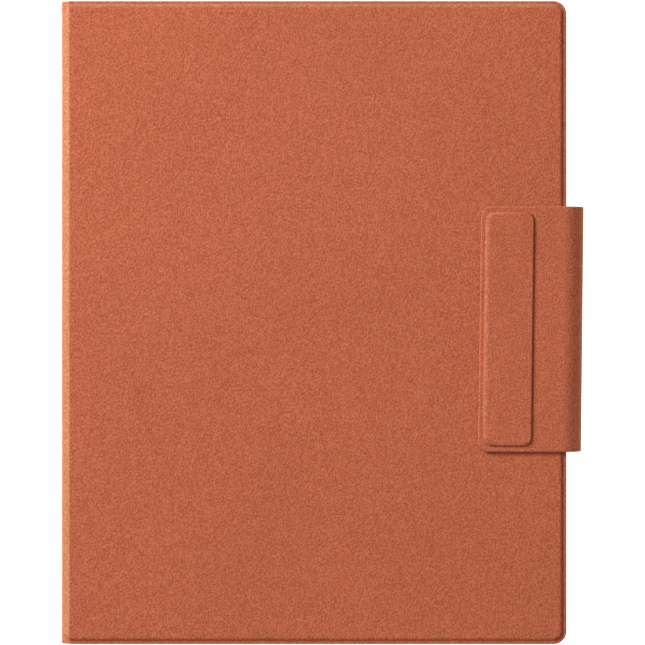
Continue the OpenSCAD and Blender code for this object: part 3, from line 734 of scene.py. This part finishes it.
def pad_height(x, y):
    """The magnet pad's rise at a place on the flap, with its painted highlight on the sides that
    face the key light and its painted shade on the others.
    """
    half_x = PAD_W / 2
    mid_x = PAD_X0 + half_x
    u = abs(x - mid_x) - (half_x - PAD_CORNER_R)
    v = abs(y - FLAP_MID_Y) - (PAD_HALF_H - PAD_CORNER_R)
    d = PAD_CORNER_R - (math.hypot(u, v) if u > 0 and v > 0 else max(u, v))
    k = d / (PAD_EDGE + (PAD_EDGE_LEFT - PAD_EDGE) * rising(mid_x - x, 0, half_x))
    shade_side = max(rising(x, mid_x, half_x),
                     rising(FLAP_MID_Y - y, PAD_HALF_H / 2, PAD_HALF_H))
    # painted shade along the pad's foot, on the sides that face away from the key light
    pressed = PAD_SHADE * shade_side * hump(d, PAD_SHADE_W)
    if k <= 0:
        return -PAD_GROOVE * hump(d, PAD_GROOVE_OUT), 0.0, pressed
    rise = (1 - PAD_CROWN) * quarter(k) + PAD_CROWN * rising(d, 0, PAD_CROWN_RUN)
    # painted highlight on the pad's edge, on the sides that face the key light
    rub_and_highlight = PAD_RIDGE_HIGHLIGHT * plateau(k, PAD_RIDGE_RISE, PAD_RIDGE_FALL) * (1 - shade_side)
    return PAD_RISE * rise - PAD_GROOVE * hump(d, PAD_GROOVE_IN), rub_and_highlight, pressed


def wrinkle(x, y):
    """Faint slanting wrinkles towards the strap's upper corner."""
    sx, sy = WRINKLE_SLANT
    across = (x - WRINKLES_MID_ACROSS[0]) * sx + (y - WRINKLES_MID_ACROSS[1]) * sy
    along = (x - WRINKLES_MID_ALONG[0]) * sy - (y - WRINKLES_MID_ALONG[1]) * sx
    fade = hump(across, WRINKLES_WIDE) * hump(along, WRINKLES_LONG)
    return -WRINKLE_DEPTH * fade * (1 + math.cos(across / WRINKLE_APART * 2 * math.pi)) / 2


def crook_stations():
    """Points (x, z) on the strap's middle line with their outward directions, from its nose up
    to where it lies flat."""
    stations = []
    for k in np.linspace(0, 1, CROOK_POINTS)[:-1]:
        c, s = math.cos(math.radians(90 * k)), math.sin(math.radians(90 * k))
        n = np.array([CROOK_R * CROOK_SLOPE * s ** (CROOK_SLOPE - 1) * c, CROOK_W * s])
        if k == 0:
            n = np.array([1.0, 0.0])    # the formula gives no direction at the nose itself
        p = np.array([CROOK_X + CROOK_W * c, CROOK_Z + CROOK_R * s ** CROOK_SLOPE])
        stations.append((p, n / np.linalg.norm(n)))
    return stations


def flap_rows():
    """Where the flap's rows of vertices lie, from the crook to the free edge."""
    xs = graded(-FLAP_PLAN[0], CROOK_X, FINE_STEP, FLAP_STEP_X, CORNER_RUN, FOLD_SIDE_RUN)
    before, beyond = PAD_FOOT_REACH
    foot = np.arange(PAD_X1 - before, PAD_X1 + beyond, PAD_FOOT_STEP)
    apart = (xs < foot[0] - PAD_FOOT_GAP) | (xs > foot[-1] + PAD_FOOT_GAP)
    return np.sort(np.concatenate([xs[apart], foot]))[::-1]


def strap_outward(x, y, upper, on_end):
    """The strap's outward direction, in plan. Only the flap's free end has corners."""
    if not upper:
        return 0.0, math.copysign(1.0, y)
    nx, ny = outward(-x, y, *FLAP_PLAN, on_end)
    return -nx, ny


def build_strap(name, upper, replaced):
    """Half of the strap, from its nose to the flap's free edge or to the back cover. The lower
    half is made as an upper one without a pad and turned over."""
    xs = flap_rows() if upper else np.linspace(CROOK_X, TAB_ROOT_X, TAB_POINTS)
    stations = crook_stations() + [(np.array([x, FLAP_MID_Z]), np.array([0.0, 1.0])) for x in xs]
    half_y = FLAP_PLAN[1]
    ys = graded(-half_y, half_y, FINE_STEP, FLAP_STEP_Y, CORNER_RUN, CORNER_RUN)
    rows, cols = len(stations), len(ys)
    outer, inner, plan, wear_and_highlight, pressed = [], [], [], [], []
    half_t = FLAP_T / 2
    for (px, pz), (nx, nz) in stations:
        nose_rub_and_highlight = NOSE_WEAR_AND_HIGHLIGHT * rising(px, CROOK_X + CROOK_W - NOSE_W, NOSE_W)
        for side in ys:
            x = px
            if upper and px < CROOK_X:
                mirrored, side = corner_warp(-px, side, *FLAP_PLAN)
                x = -mirrored
            y = side + FLAP_MID_Y
            rise, pad_highlight, pad_shade = pad_height(x, y) if upper else (0.0, 0.0, 0.0)
            if upper and px > FLAP_X0 + WRINKLE_FROM:
                rise += wrinkle(px, y)
            rise -= STRAP_RIPPLE * abs(wobble((x, y, pz), STRAP_RIPPLE_SIZE, 2.0))
            base = np.array([x, y, pz])
            normal = np.array([nx, 0.0, nz])
            outer.append(base + normal * (half_t + rise))
            inner.append(base - normal * half_t)
            plan.append((x, side))
            # the pad's painted highlight, and the nose strip's rubbed nap with its painted
            # highlight
            wear_and_highlight.append(max(pad_highlight, nose_rub_and_highlight))
            # the pad's painted shade
            pressed.append(pad_shade)
    count = rows * cols
    verts = outer + inner
    wear_and_highlight += [0.0] * count
    pressed += [0.0] * count
    places = [i * cols + j for i, j in edge_places(rows, cols)]
    sideways = [strap_outward(*plan[n], upper, n >= (rows - 1) * cols) for n in places]
    rim = add_rim(verts, outer, inner, places, sideways, STRAP_RIM, FLAP_RIM_R)
    strips = [places] + rim + [[count + n for n in places]]
    faces = grid_faces(rows, cols, flip=True) + grid_faces(rows, cols, start=count)
    faces += [f[::-1] for f in strip_faces(strips)]

    # Close the mesh at the nose, where the two halves meet
    faces += [(count + j, count + j + 1, j + 1, j) for j in range(cols - 1)]
    faces.append(tuple(strip[0] for strip in strips))
    faces.append(tuple(strip[-1] for strip in strips[::-1]))
    for v in verts:
        v[0] = skewed(v[0], v[1])
    if not upper:
        for v in verts:
            v[2] = 2 * CROOK_Z - v[2]
        faces = [f[::-1] for f in faces]
    o = mesh_object(name, verts, faces, SUEDE)
    paint_nap_and_light(o, wear_and_highlight, pressed)
    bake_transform(o)
    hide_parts(*replaced)


build_strap("closure_flap", True,
            ("flap_outer_skin", "flap_lining", "strap_outer_skin", "strap_lining"))
build_strap("closure_strap", False, ("strap_tab",))


# ---------------------------------------------------------------- floor, light, camera

def paper_white():
    """The floor glows a little, which keeps the ground white and without a shadow."""
    n = Nodes("studio_floor")
    tone = n.ramp(n.noise(6, 2.0), around(0.94, 0.01))
    n.link(tone, n.bsdf.inputs["Base Color"])
    n.set(Roughness=0.9, Emission_Strength=1.05, Emission_Color=(1.0, 1.0, 1.0, 1.0))
    return n.material


def area_light(name, location, size, power):
    """A square light that points at the origin."""
    data = bpy.data.lights.new(name, "AREA")
    data.shape = "SQUARE"
    data.size = size
    data.energy = power
    o = bpy.data.objects.new(name, data)
    o.location = location
    o.rotation_euler = (-Vector(location)).to_track_quat("-Z", "Y").to_euler()
    bpy.context.scene.collection.objects.link(o)


def build_studio():
    corners = [(x * FLOOR_HALF, y * FLOOR_HALF, FLOOR_Z)
               for x, y in ((-1, -1), (1, -1), (1, 1), (-1, 1))]
    floor = mesh_object("studio_floor", corners, [(0, 1, 2, 3)], paper_white())
    area_light("key_light", KEY_LIGHT, size=0.55, power=39.0)
    area_light("fill_light", FILL_LIGHT, size=1.2, power=3.0)
    world = bpy.data.worlds.new("studio")
    world.use_nodes = True
    background = world.node_tree.nodes["Background"]
    background.inputs["Color"].default_value = (1.0, 1.0, 1.0, 1.0)
    background.inputs["Strength"].default_value = 0.36
    bpy.context.scene.world = world
    bpy.context.scene.view_settings.view_transform = "Standard"


def build_camera():
    """Straight above the cover, as in the photograph."""
    data = bpy.data.cameras.new("camera")
    data.sensor_width = 36.0
    data.lens = data.sensor_width * CAMERA_DISTANCE / SEEN_WIDTH
    o = bpy.data.objects.new("camera", data)
    o.location = (AIM_X, 0, CLOSED_T + CAMERA_DISTANCE)
    bpy.context.scene.collection.objects.link(o)
    bpy.context.scene.camera = o


build_studio()
build_camera()
